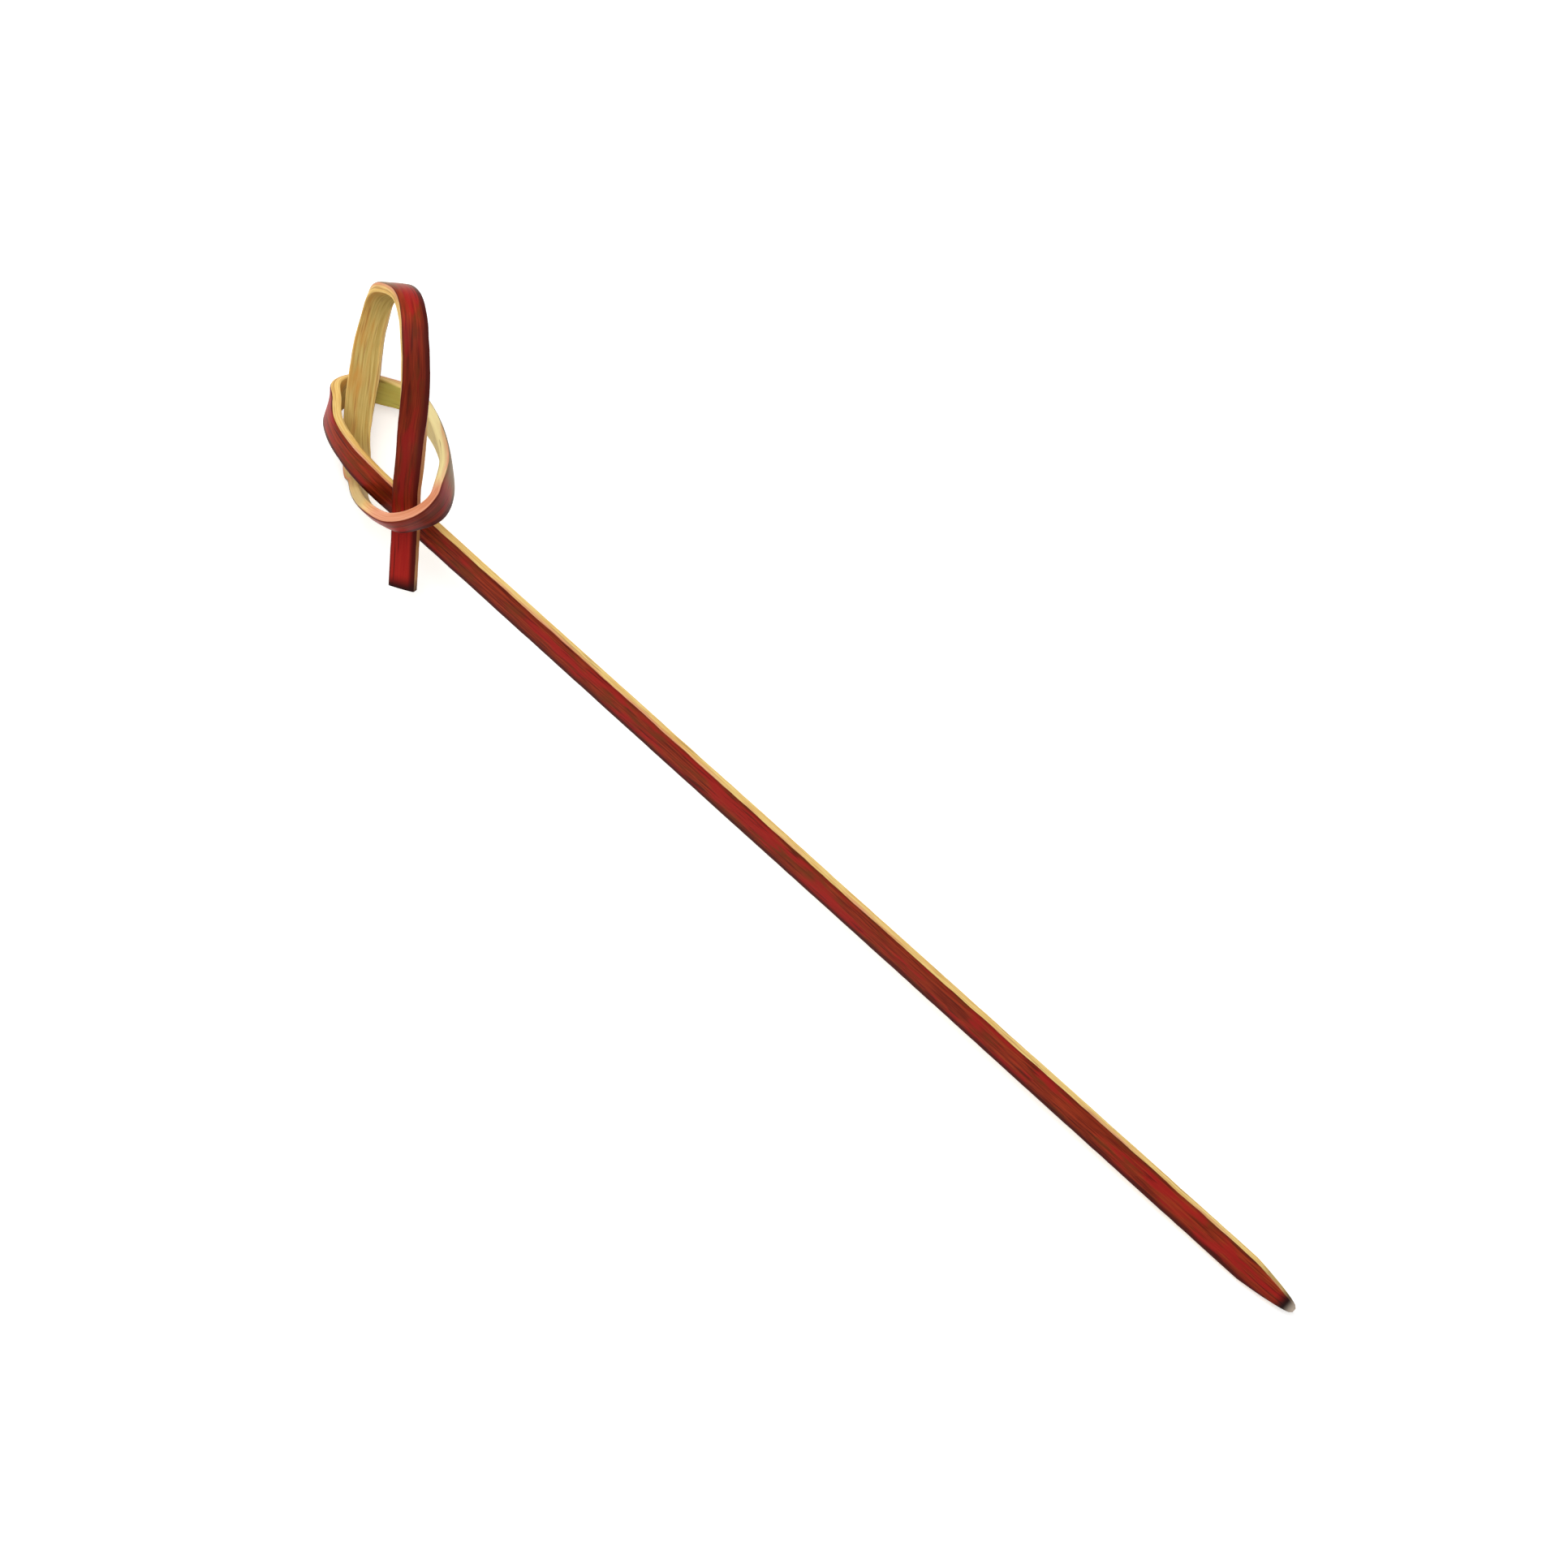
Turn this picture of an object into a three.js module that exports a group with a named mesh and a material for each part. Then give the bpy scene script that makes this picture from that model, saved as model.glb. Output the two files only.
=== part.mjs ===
import * as THREE from 'three';

// A looped bamboo skewer: one flat strip, pointed at one end and tied in a knot with a standing loop
// at the other. All sizes are in millimetres. Its outer face is dyed, so each stretch of the strip has
// a natural core and a thin dyed skin on it. The strip is laid out as it looks from the knot's front,
// and is then turned to lie on the floor.

// The strip
const stripWidth = 2.45;
const stripThickness = 1.05;
const skinThickness = 0.3;
const edgeRound = 0.16;

// The shaft and its point: the half next to the knot is straight, and the outer half turns a little
const shaftLength = 97;
const straightShare = 0.5;
const shaftTwist = THREE.MathUtils.degToRad(12);
const pointLength = 5.5;
const tipWidth = 0.35;
const tipThickness = 0.35;

// The knot
const loopHeight = 19.2;
const tailLength = 7.3;
const tailCutSlope = 0.12;
const strandClearance = 0.3;

// How finely the strip is stepped
const stepsPerSpan = 3;
const shaftSteps = 6;
const pointSteps = 8;

// How the skewer lies: roughly upwards as seen from the knot's front, and the stretches it rests on
const roughlyUp = new THREE.Vector3(0.29, 0.36, 0.89).normalize();
const restingOn = [['lower_turn'], ['left_turn', 'wrap_back'], ['outer_shaft', 'point']];
const settlingRounds = 6;

// Depths in the knot are counted in strand pitches: one strip and the gap to the next
const pitch = stripThickness + strandClearance;

// The knot as seen from its front: x across and y up in strip widths, z towards the front leg in pitches
function place(x, y, z) {
  return new THREE.Vector3(x * stripWidth, y * stripWidth, z * pitch);
}

// The legs of the loop climb from the crossing to the crown, so their heights are shares of the loop
function climb(x, share, z) {
  return new THREE.Vector3(x * stripWidth, share * loopHeight, z * pitch);
}

// Each stretch of the knot: its route from the shaft towards the tail, and the way its dyed face looks
const shaftLine = new THREE.Vector3(-0.743, 0.669, 0).normalize();
const shaftFace = new THREE.Vector3(-0.45, -0.5, 0.74);

const knotStretches = [
  {
    name: 'rising_strand',
    points: [
      [place(1.03, -0.96, 0), [-0.45, -0.5, 0.74]],
      [place(0.2, -0.18, 0), [-0.45, -0.5, 0.74]],
      [place(-0.6, 0.54, 0), [-0.44, -0.47, 0.77]],
      [place(-1.26, 1.2, 0), [-0.46, -0.45, 0.77]],
      [place(-1.87, 1.92, -0.35), [-0.64, -0.38, 0.66]],
    ],
  },
  {
    name: 'left_turn',
    points: [
      [place(-2.36, 2.75, -1.3), [-0.86, -0.12, 0.5]],
      [place(-2.44, 3.45, -2.75), [-0.92, 0.1, 0.34]],
      [place(-2.1, 4.08, -4.25), [-0.71, 0.02, -0.7]],
    ],
  },
  {
    name: 'wrap_back',
    points: [
      [place(-1.32, 4.24, -5.0), [-0.3, 0.3, -0.9]],
      [place(-0.45, 4.06, -4.95), [0.05, 0.4, -0.9]],
      [place(0.24, 3.84, -4.4), [0.35, 0.5, -0.75]],
    ],
  },
  {
    name: 'right_turn',
    points: [
      [place(0.82, 3.36, -3.6), [0.72, 0.3, -0.5]],
      [place(1.4, 2.42, -2.1), [0.95, 0.15, -0.1]],
      [place(1.68, 1.38, -0.5), [0.97, 0.03, 0.14]],
      [place(1.6, 0.5, 1.1), [0.88, 0.12, 0.4]],
    ],
  },
  {
    name: 'wrap_front',
    points: [
      [place(1.31, -0.12, 2.6), [0.7, -0.2, 0.66]],
      [place(0.62, -0.52, 3.5), [0.3, -0.76, 0.55]],
      [place(-0.15, -0.68, 3.55), [-0.05, -0.92, 0.4]],
      [place(-0.84, -0.38, 2.1), [-0.48, -0.82, 0.18]],
    ],
  },
  {
    name: 'lower_turn',
    points: [
      [place(-1.33, 0.08, -0.6), [-0.78, -0.6, -0.1]],
      [place(-1.55, 0.68, -2.75), [-0.88, -0.25, -0.35]],
      [place(-1.57, 1.42, -2.95), [-0.4, -0.1, -0.9]],
    ],
  },
  {
    name: 'back_leg',
    points: [
      [climb(-1.58, 0.31, -2.95), [-0.05, 0, -0.95]],
      [climb(-1.46, 0.46, -3.05), [0.2, 0, -1]],
      [climb(-1.28, 0.6, -3.0), [0.3, 0, -0.95]],
      [climb(-1.12, 0.745, -2.9), [0.32, 0.1, -0.94]],
    ],
  },
  {
    name: 'crown',
    points: [
      [climb(-0.86, 0.88, -2.5), [0.35, 0.35, -0.86]],
      [climb(-0.6, 0.968, -1.4), [0.2, 0.85, -0.5]],
      [climb(-0.15, 0.99, 0.15), [0.13, 1, 0.1]],
      [climb(0.25, 0.956, 1.6), [0.3, 0.74, 0.6]],
    ],
  },
  {
    name: 'front_leg',
    points: [
      [climb(0.47, 0.865, 2.7), [0.28, 0.32, 0.9]],
      [climb(0.55, 0.745, 3.2), [0.18, 0.05, 0.97]],
      [climb(0.58, 0.61, 3.2), [0.14, 0, 0.98]],
      [climb(0.54, 0.47, 2.95), [0, -0.1, 1]],
      [climb(0.45, 0.33, 2.6), [-0.32, -0.15, 0.94]],
      [climb(0.36, 0.19, 2.4), [-0.4, -0.2, 0.9]],
      [climb(0.25, 0.06, 1.87), [-0.4, -0.3, 0.9]],
    ],
  },
  {
    name: 'tail',
    points: [
      [place(0.22, -0.6, 1.25), [-0.36, -0.3, 0.9]],
      [new THREE.Vector3(0.16 * stripWidth, -0.6 * tailLength, 0.65 * pitch), [-0.36, -0.28, 0.9]],
      [new THREE.Vector3(0.09 * stripWidth, -tailLength, 0), [-0.36, -0.28, 0.9]],
    ],
  },
];

// Materials, each mesh with its own copy
const naturalColour = 0xd8b673;
const dyedColour = 0x84301f;

function bamboo(colour, roughness) {
  return new THREE.MeshStandardMaterial({ color: colour, roughness, metalness: 0 });
}

// One station is a cross-section of the strip: its place, its outward face and its side direction
function station(position, along, facing, width = stripWidth, thickness = stripThickness) {
  const side = new THREE.Vector3().crossVectors(along, facing).normalize();
  const out = new THREE.Vector3().crossVectors(side, along).normalize();
  return { position, out, side, width, thickness };
}

// A station cut at a slant: its side direction also runs back along the strip
function slanted(at, along, slope) {
  return { ...at, side: at.side.clone().addScaledVector(along, -slope) };
}

// A point of a cross-section: u across the width and v through the thickness
function sectionPoint(at, u, v) {
  return at.position.clone().addScaledVector(at.side, u).addScaledVector(at.out, v);
}

function coreSection(at) {
  const half = at.width / 2;
  const inner = -at.thickness / 2;
  const seam = at.thickness / 2 - Math.min(skinThickness, at.thickness / 3);
  const round = Math.min(edgeRound, at.thickness / 4);
  return [
    sectionPoint(at, -half, seam),
    sectionPoint(at, -half, inner + round),
    sectionPoint(at, -half + round, inner),
    sectionPoint(at, 0, inner),
    sectionPoint(at, half - round, inner),
    sectionPoint(at, half, inner + round),
    sectionPoint(at, half, seam),
    sectionPoint(at, 0, seam),
  ];
}

function skinSection(at) {
  const half = at.width / 2;
  const outer = at.thickness / 2;
  const seam = outer - Math.min(skinThickness, at.thickness / 3);
  const round = Math.min(edgeRound, at.thickness / 4);
  return [
    sectionPoint(at, half, seam),
    sectionPoint(at, half, outer - round),
    sectionPoint(at, half - round, outer),
    sectionPoint(at, 0, outer),
    sectionPoint(at, -half + round, outer),
    sectionPoint(at, -half, outer - round),
    sectionPoint(at, -half, seam),
    sectionPoint(at, 0, seam),
  ];
}

// Joins the cross-sections of consecutive stations into one closed solid with flat ends. The skin's
// panels are split the other way round, so that along the seam it has the same edges as the core.
function loft(stations, section) {
  const rings = stations.map(section);
  const isSkin = section === skinSection;
  const sides = rings[0].length;
  const positions = rings.flat().flatMap((p) => [p.x, p.y, p.z]);
  const faces = [];
  for (let ring = 0; ring + 1 < rings.length; ring += 1) {
    for (let k = 0; k < sides; k += 1) {
      const next = (k + 1) % sides;
      const a = ring * sides + k;
      const b = ring * sides + next;
      const c = a + sides;
      const d = b + sides;
      faces.push(...(isSkin ? [a, c, b, c, d, b] : [a, d, b, a, c, d]));
    }
  }
  const last = (rings.length - 1) * sides;
  for (let k = 1; k + 1 < sides; k += 1) {
    faces.push(0, k, k + 1);
    faces.push(last, last + k + 1, last + k);
  }
  const geometry = new THREE.BufferGeometry();
  geometry.setAttribute('position', new THREE.Float32BufferAttribute(positions, 3));
  geometry.setIndex(faces);
  geometry.computeVertexNormals();
  return geometry;
}

// The stations of the whole knot, found on a smooth curve through the route's points
function knotStations() {
  const rows = knotStretches.flatMap((stretch) => stretch.points);
  const places = new THREE.CatmullRomCurve3(rows.map((row) => row[0]), false, 'catmullrom');
  const facings = new THREE.CatmullRomCurve3(
    rows.map((row) => new THREE.Vector3(...row[1]).normalize()), false, 'catmullrom');
  const count = (rows.length - 1) * stepsPerSpan;
  const found = [];
  for (let i = 0; i <= count; i += 1) {
    const t = i / count;
    const along = i === 0 ? shaftLine : places.getTangent(t);
    found.push(station(places.getPoint(t), along, facings.getPoint(t)));
  }
  const end = found.pop();
  return [...found, slanted(end, places.getTangent(1), tailCutSlope)];
}

// One station of the shaft or the point, by its distance from the knot's first station
function shaftStation(distance, width, thickness) {
  const straightLength = shaftLength * straightShare;
  const turned = THREE.MathUtils.smoothstep(distance, straightLength, shaftLength);
  const facing = shaftFace.clone().applyAxisAngle(shaftLine, shaftTwist * turned);
  const position = knotStretches[0].points[0][0].clone().addScaledVector(shaftLine, -distance);
  return station(position, shaftLine, facing, width, thickness);
}

// The stations of one half of the shaft, towards the knot
function shaftStations(farDistance, nearDistance) {
  const found = [];
  for (let i = 0; i <= shaftSteps; i += 1) {
    found.push(shaftStation(THREE.MathUtils.lerp(farDistance, nearDistance, i / shaftSteps)));
  }
  return found;
}

// The stations of the point, from the tip: its edges curve in to the middle, ever steeper
function pointStations() {
  const found = [];
  for (let i = 0; i <= pointSteps; i += 1) {
    const share = i / pointSteps;
    const distance = shaftLength + pointLength * (1 - share * share);
    const width = THREE.MathUtils.lerp(tipWidth, stripWidth, share);
    const thickness = THREE.MathUtils.lerp(tipThickness, stripThickness, share);
    found.push(shaftStation(distance, width, thickness));
  }
  return found;
}

function pair(name, stations) {
  const core = new THREE.Mesh(loft(stations, coreSection), bamboo(naturalColour, 0.7));
  core.name = `${name}_core`;
  const skin = new THREE.Mesh(loft(stations, skinSection), bamboo(dyedColour, 0.45));
  skin.name = `${name}_skin`;
  return [core, skin];
}

function knotMeshes() {
  const all = knotStations();
  let start = 0;
  return knotStretches.flatMap((stretch, index) => {
    const spans = index + 1 < knotStretches.length ? stretch.points.length : stretch.points.length - 1;
    const end = start + spans * stepsPerSpan;
    const meshes = pair(stretch.name, all.slice(start, end + 1));
    start = end;
    return meshes;
  });
}

// All corners of the named stretches, or of the whole strip, as laid out
function cornersOf(strip, names) {
  const isWanted = (mesh) => !names || names.some((name) => mesh.name.startsWith(name));
  return strip.children.filter(isWanted).flatMap((mesh) => {
    const corners = mesh.geometry.getAttribute('position');
    const cornerAt = (i) => new THREE.Vector3().fromBufferAttribute(corners, i);
    return Array.from({ length: corners.count }, (_, i) => cornerAt(i));
  });
}

// The floor's upward direction: square to the plane through the lowest corners of the resting stretches
function findUp(strip) {
  let up = roughlyUp;
  for (let round = 0; round < settlingRounds; round += 1) {
    const [a, b, c] = restingOn.map((names) => cornersOf(strip, names)
      .reduce((low, corner) => (corner.dot(up) < low.dot(up) ? corner : low)));
    const square = b.clone().sub(a).cross(c.clone().sub(a)).normalize();
    up = square.multiplyScalar(Math.sign(square.dot(roughlyUp)));
  }
  return up;
}

// Turns the strip to lie on the floor with its tip towards +x, centred over the origin
function layDown(strip) {
  const up = findUp(strip);
  const across = up.clone().cross(shaftLine).negate().normalize();
  const forward = across.clone().cross(up);
  const turn = new THREE.Matrix4().makeBasis(forward, across, up).transpose();
  strip.quaternion.setFromRotationMatrix(turn);
  const box = new THREE.Box3().setFromPoints(cornersOf(strip).map((corner) => corner.applyMatrix4(turn)));
  const middle = box.getCenter(new THREE.Vector3());
  strip.position.set(-middle.x, -middle.y, -box.min.z);
}

const skewer = new THREE.Group();
skewer.name = 'looped_skewer';
const strip = new THREE.Group();
const shaftMiddle = shaftLength * straightShare;
strip.add(...pair('point', pointStations()));
strip.add(...pair('outer_shaft', shaftStations(shaftLength, shaftMiddle)));
strip.add(...pair('inner_shaft', shaftStations(shaftMiddle, 0)));
strip.add(...knotMeshes());
layDown(strip);
skewer.add(strip);

export default skewer;
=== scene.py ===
"""A looped bamboo skewer lying on a pale floor: one flat strip, dyed on its outer face and knotted.

The strip is modelled as a maker makes it. Each stretch starts as a straight blank, with its natural core
and its dyed skin, and is then laid along the knot's route. Blanks and routes are in millimetres; the
finished pieces are in metres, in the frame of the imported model.
"""
import math
from bisect import bisect_right

import bpy
from mathutils import Matrix, Vector, noise


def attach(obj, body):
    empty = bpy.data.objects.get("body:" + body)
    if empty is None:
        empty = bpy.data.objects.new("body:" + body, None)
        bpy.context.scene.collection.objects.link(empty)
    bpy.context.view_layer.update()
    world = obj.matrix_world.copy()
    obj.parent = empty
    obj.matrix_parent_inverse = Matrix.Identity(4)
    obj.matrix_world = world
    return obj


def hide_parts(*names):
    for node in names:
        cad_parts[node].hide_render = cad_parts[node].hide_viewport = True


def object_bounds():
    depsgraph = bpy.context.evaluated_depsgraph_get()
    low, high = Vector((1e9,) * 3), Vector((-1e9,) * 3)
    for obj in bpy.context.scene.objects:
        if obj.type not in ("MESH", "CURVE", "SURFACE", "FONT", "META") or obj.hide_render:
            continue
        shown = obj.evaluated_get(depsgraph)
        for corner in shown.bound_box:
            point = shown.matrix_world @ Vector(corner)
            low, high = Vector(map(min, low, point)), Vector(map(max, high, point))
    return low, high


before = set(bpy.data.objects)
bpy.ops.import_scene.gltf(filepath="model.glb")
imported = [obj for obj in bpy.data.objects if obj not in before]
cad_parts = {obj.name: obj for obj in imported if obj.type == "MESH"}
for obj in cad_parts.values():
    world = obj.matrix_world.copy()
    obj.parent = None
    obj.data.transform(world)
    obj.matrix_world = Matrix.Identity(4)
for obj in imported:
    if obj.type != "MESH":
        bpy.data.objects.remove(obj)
cad_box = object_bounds()

MM = 0.001

# The strip
STRIP_WIDTH = 2.45
STRIP_THICKNESS = 1.05
SKIN_THICKNESS = 0.3
EDGE_ROUND = 0.16

# The shaft and its point
SHAFT_LENGTH = 97
STRAIGHT_SHARE = 0.5
SHAFT_TWIST = math.radians(12)
POINT_LENGTH = 5.5
TIP_WIDTH = 0.35
TIP_THICKNESS = 0.35
SHAFT_LINE = Vector((-0.743, 0.669, 0)).normalized()
SHAFT_FACE = Vector((-0.45, -0.5, 0.74))

# The knot
LOOP_HEIGHT = 19.2
TAIL_LENGTH = 7.3
TAIL_CUT_SLOPE = 0.12
PITCH = STRIP_THICKNESS + 0.3

# How finely the blanks are stepped, and how uneven split bamboo is
STEP = 0.25
MOST_CUTS = 100
FACE_CUTS = 7
SIDE_CUTS = 2
ROUND_SEGMENTS = 3
WIDTH_WAVER = 0.035
FACE_WAVER = 0.02
SLOW_WAVER = 0.35
QUICK_WAVER = 1.1
LANE_GAP = 7.3
FACE_DOME = 0.07
SMOOTH_ANGLE = math.radians(40)

# Hand-split bamboo is uneven: these legs are wider by this share half way along, and so is most of the shaft
SPREAD = {"back_leg": 0.12, "front_leg": 0.05}
SHAFT_SPREAD = 0.08
SHAFT_SPREAD_START = -10
SHAFT_SPREAD_FULL = 45


def place(x, y, z):
    """A point of the knot: x and y in strip widths, z towards the front leg in pitches."""
    return Vector((x * STRIP_WIDTH, y * STRIP_WIDTH, z * PITCH))


def climb(x, share, z):
    """A point of the loop's legs, whose height is a share of the loop's."""
    return Vector((x * STRIP_WIDTH, share * LOOP_HEIGHT, z * PITCH))


# Each stretch of the knot: its route from the shaft towards the tail, and the way its dyed face looks
KNOT_STRETCHES = {
    "rising_strand": [
        (place(1.03, -0.96, 0), (-0.45, -0.5, 0.74)),
        (place(0.2, -0.18, 0), (-0.45, -0.5, 0.74)),
        (place(-0.6, 0.54, 0), (-0.44, -0.47, 0.77)),
        (place(-1.26, 1.2, 0), (-0.46, -0.45, 0.77)),
        (place(-1.87, 1.92, -0.35), (-0.64, -0.38, 0.66)),
    ],
    "left_turn": [
        (place(-2.36, 2.75, -1.3), (-0.86, -0.12, 0.5)),
        (place(-2.44, 3.45, -2.75), (-0.92, 0.1, 0.34)),
        (place(-2.1, 4.08, -4.25), (-0.71, 0.02, -0.7)),
    ],
    "wrap_back": [
        (place(-1.32, 4.24, -5.0), (-0.3, 0.3, -0.9)),
        (place(-0.45, 4.06, -4.95), (0.05, 0.4, -0.9)),
        (place(0.24, 3.84, -4.4), (0.35, 0.5, -0.75)),
    ],
    "right_turn": [
        (place(0.82, 3.36, -3.6), (0.72, 0.3, -0.5)),
        (place(1.4, 2.42, -2.1), (0.95, 0.15, -0.1)),
        (place(1.68, 1.38, -0.5), (0.97, 0.03, 0.14)),
        (place(1.6, 0.5, 1.1), (0.88, 0.12, 0.4)),
    ],
    "wrap_front": [
        (place(1.31, -0.12, 2.6), (0.7, -0.2, 0.66)),
        (place(0.62, -0.52, 3.5), (0.3, -0.76, 0.55)),
        (place(-0.15, -0.68, 3.55), (-0.05, -0.92, 0.4)),
        (place(-0.84, -0.38, 2.1), (-0.48, -0.82, 0.18)),
    ],
    "lower_turn": [
        (place(-1.33, 0.08, -0.6), (-0.78, -0.6, -0.1)),
        (place(-1.55, 0.68, -2.75), (-0.88, -0.25, -0.35)),
        (place(-1.57, 1.42, -2.95), (-0.4, -0.1, -0.9)),
    ],
    "back_leg": [
        (climb(-1.58, 0.31, -2.95), (-0.05, 0, -0.95)),
        (climb(-1.46, 0.46, -3.05), (0.2, 0, -1)),
        (climb(-1.28, 0.6, -3.0), (0.3, 0, -0.95)),
        (climb(-1.12, 0.745, -2.9), (0.32, 0.1, -0.94)),
    ],
    "crown": [
        (climb(-0.86, 0.88, -2.5), (0.35, 0.35, -0.86)),
        (climb(-0.6, 0.968, -1.4), (0.2, 0.85, -0.5)),
        (climb(-0.15, 0.99, 0.15), (0.13, 1, 0.1)),
        (climb(0.25, 0.956, 1.6), (0.3, 0.74, 0.6)),
    ],
    "front_leg": [
        (climb(0.47, 0.865, 2.7), (0.28, 0.32, 0.9)),
        (climb(0.55, 0.745, 3.2), (0.18, 0.05, 0.97)),
        (climb(0.58, 0.61, 3.2), (0.14, 0, 0.98)),
        (climb(0.54, 0.47, 2.95), (0, -0.1, 1)),
        (climb(0.45, 0.33, 2.6), (-0.32, -0.15, 0.94)),
        (climb(0.36, 0.19, 2.4), (-0.4, -0.2, 0.9)),
        (climb(0.25, 0.06, 1.87), (-0.4, -0.3, 0.9)),
    ],
    "tail": [
        (place(0.22, -0.6, 1.25), (-0.36, -0.3, 0.9)),
        (Vector((0.16 * STRIP_WIDTH, -0.6 * TAIL_LENGTH, 0.65 * PITCH)), (-0.36, -0.28, 0.9)),
        (Vector((0.09 * STRIP_WIDTH, -TAIL_LENGTH, 0)), (-0.36, -0.28, 0.9)),
    ],
}
ROWS = [row for rows in KNOT_STRETCHES.values() for row in rows]
PLACES = [row[0] for row in ROWS]
FACINGS = [Vector(row[1]).normalized() for row in ROWS]
LAST_ROW = len(ROWS) - 1
ROW_STEPS = 24
TANGENT_REACH = 0.002

# The floor's upward direction, as seen from the knot's front, and what the skewer rests on
ROUGHLY_UP = Vector((0.29, 0.36, 0.89)).normalized()
RESTING_ON = (("lower_turn",), ("left_turn", "wrap_back"), ("outer_shaft", "point"))
SETTLING_ROUNDS = 6
CAD_STEPS_PER_ROW = 3


# The route
def on_curve(points, at):
    """A point on the smooth curve through points, with at counted in points."""
    first = min(int(at), len(points) - 2)
    part = at - first
    a = points[first]
    b = points[first + 1]
    before = points[first - 1] if first > 0 else 2 * a - b
    after = points[first + 2] if first + 2 < len(points) else 2 * b - a
    leave = (b - before) / 2
    arrive = (after - a) / 2
    bend = 3 * (b - a) - 2 * leave - arrive
    return a + leave * part + bend * part ** 2 + (2 * (a - b) + leave + arrive) * part ** 3


def row_distances():
    """How far along the strip, from the knot's first row, each small step of the route lies."""
    count = LAST_ROW * ROW_STEPS
    spots = [on_curve(PLACES, i / ROW_STEPS) for i in range(count + 1)]
    found = [0.0]
    for a, b in zip(spots, spots[1:]):
        found.append(found[-1] + (b - a).length)
    return found


KNOT_START = POINT_LENGTH + SHAFT_LENGTH
ROW_DISTANCES = row_distances()
STRIP_LENGTH = KNOT_START + ROW_DISTANCES[-1]


def row_at(distance):
    """The route's row, with its fraction, at a distance from the knot's first row."""
    step = min(bisect_right(ROW_DISTANCES, distance), len(ROW_DISTANCES) - 1) - 1
    span = ROW_DISTANCES[step + 1] - ROW_DISTANCES[step]
    return (step + (distance - ROW_DISTANCES[step]) / span) / ROW_STEPS


def smooth_share(value, low, high):
    """None below low and all of it above high, with a smooth change between."""
    share = min(max((value - low) / (high - low), 0), 1)
    return share * share * (3 - 2 * share)


def station(position, along, facing, width=STRIP_WIDTH, thickness=STRIP_THICKNESS):
    """A cross-section of the strip: its place, side direction, outward face and size."""
    side = along.cross(facing).normalized()
    out = side.cross(along).normalized()
    return {"position": position, "along": along, "side": side, "out": out, "width": width,
            "thickness": thickness}


def knot_station(row):
    """A station of the knot, by its row, with the tail's end cut at a slant."""
    ahead = on_curve(PLACES, min(row + TANGENT_REACH, LAST_ROW))
    behind = on_curve(PLACES, max(row - TANGENT_REACH, 0))
    along = (ahead - behind).normalized() if row > 0 else SHAFT_LINE
    at = station(on_curve(PLACES, row), along, on_curve(FACINGS, row))
    slanted = max(0, 1 - (LAST_ROW - row) * CAD_STEPS_PER_ROW)
    at["side"] = at["side"] - along * TAIL_CUT_SLOPE * slanted
    return at


def shaft_station(strip_distance):
    """A station of the point or the shaft, by its distance from the tip."""
    to_knot = KNOT_START - strip_distance
    turned = smooth_share(to_knot, SHAFT_LENGTH * STRAIGHT_SHARE, SHAFT_LENGTH)
    facing = Matrix.Rotation(SHAFT_TWIST * turned, 3, SHAFT_LINE) @ SHAFT_FACE
    cut = math.sqrt(min(max(strip_distance, 0) / POINT_LENGTH, 1))
    width = TIP_WIDTH + (STRIP_WIDTH - TIP_WIDTH) * cut
    thickness = TIP_THICKNESS + (STRIP_THICKNESS - TIP_THICKNESS) * cut
    return station(PLACES[0] - SHAFT_LINE * to_knot, SHAFT_LINE, facing, width, thickness)


def station_at(strip_distance):
    if strip_distance < KNOT_START:
        return shaft_station(strip_distance)
    return knot_station(row_at(strip_distance - KNOT_START))


def stretch_spans():
    """Where each stretch starts and ends along the strip, from the tip."""
    shaft_middle = KNOT_START - SHAFT_LENGTH * STRAIGHT_SHARE
    spans = {
        "point": (0, POINT_LENGTH),
        "outer_shaft": (POINT_LENGTH, shaft_middle),
        "inner_shaft": (shaft_middle, KNOT_START),
    }
    row = 0
    for name, rows in KNOT_STRETCHES.items():
        end = min(row + len(rows), LAST_ROW)
        spans[name] = tuple(KNOT_START + ROW_DISTANCES[at * ROW_STEPS] for at in (row, end))
        row = end
    return spans


SPANS = stretch_spans()


# How the strip lies on the floor
def section_corners(at):
    """The corners of a cross-section, with its edges cut at a slant."""
    half = at["width"] / 2
    deep = at["thickness"] / 2
    cut = min(EDGE_ROUND, at["thickness"] / 4)
    corners = []
    for across, through in ((half, deep - cut), (half - cut, deep)):
        for u in (across, -across):
            for v in (through, -through):
                corners.append(at["position"] + at["side"] * u + at["out"] * v)
    return corners


def resting_corners(name):
    start, end = SPANS[name]
    if start < KNOT_START:
        return section_corners(station_at(start)) + section_corners(station_at(end))
    first = round(row_at(start - KNOT_START))
    last = round(row_at(end - KNOT_START))
    rows = [first + i / CAD_STEPS_PER_ROW for i in range((last - first) * CAD_STEPS_PER_ROW + 1)]
    return [corner for row in rows for corner in section_corners(knot_station(row))]


def find_up():
    """The direction square to the plane through the lowest corners of the resting stretches."""
    groups = [[c for name in names for c in resting_corners(name)] for names in RESTING_ON]
    up = ROUGHLY_UP
    for _ in range(SETTLING_ROUNDS):
        a, b, c = [min(corners, key=up.dot) for corners in groups]
        square = (b - a).cross(c - a).normalized()
        up = square if square.dot(ROUGHLY_UP) > 0 else -square
    return up


def lying_turn():
    """Turns the knot's own directions to those of the floor, with the tip towards +x."""
    up = find_up()
    across = -up.cross(SHAFT_LINE).normalized()
    return Matrix((across.cross(up), across, up))


TURN = lying_turn()


# Modelling the blanks
def deselect_all():
    bpy.ops.object.select_all(action="DESELECT")


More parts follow.
